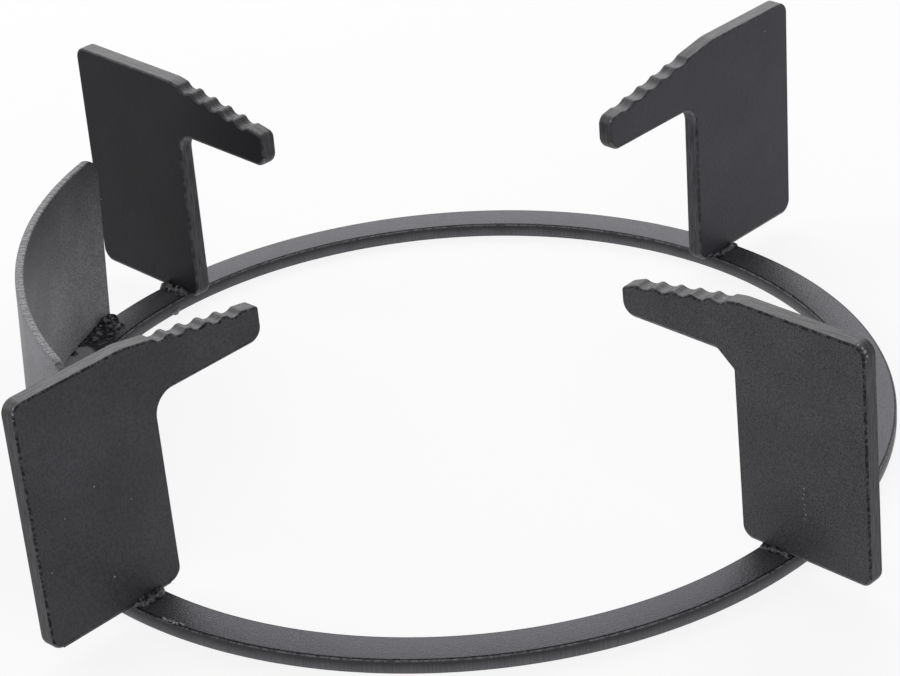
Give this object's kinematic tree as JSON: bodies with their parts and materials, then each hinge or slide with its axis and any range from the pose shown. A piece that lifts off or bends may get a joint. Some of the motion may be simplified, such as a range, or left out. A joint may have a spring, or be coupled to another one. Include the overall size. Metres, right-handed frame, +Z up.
{
  "type": "stove pot stand",
  "caption": "Pot stand for a gas ring: a flat metal ring with upright claw plates whose notched fingers slope in over the burner, and a curved guard plate on one side.",
  "frame": {"origin": "on the ring's axis, at the face the ring lies on", "axes": "+Z up along the ring's axis; the guard is on the -X side"},
  "size_m": [0.2, 0.2, 0.0623],
  "materials": {
    "black_coat": "satin, fine grain",
    "weld_bead": "satin, lumpy"
  },
  "bodies": {
    "root": {"ring": "black_coat", "claw_back_right": "black_coat", "claw_back_left": "black_coat", "claw_front_left": "black_coat", "claw_front_right": "black_coat", "guard": "black_coat", "weld_back_right": "weld_bead", "weld_back_left": "weld_bead", "weld_front_left": "weld_bead", "weld_front_right": "weld_bead", "weld_guard": "weld_bead"}
  },
  "joints": []
}
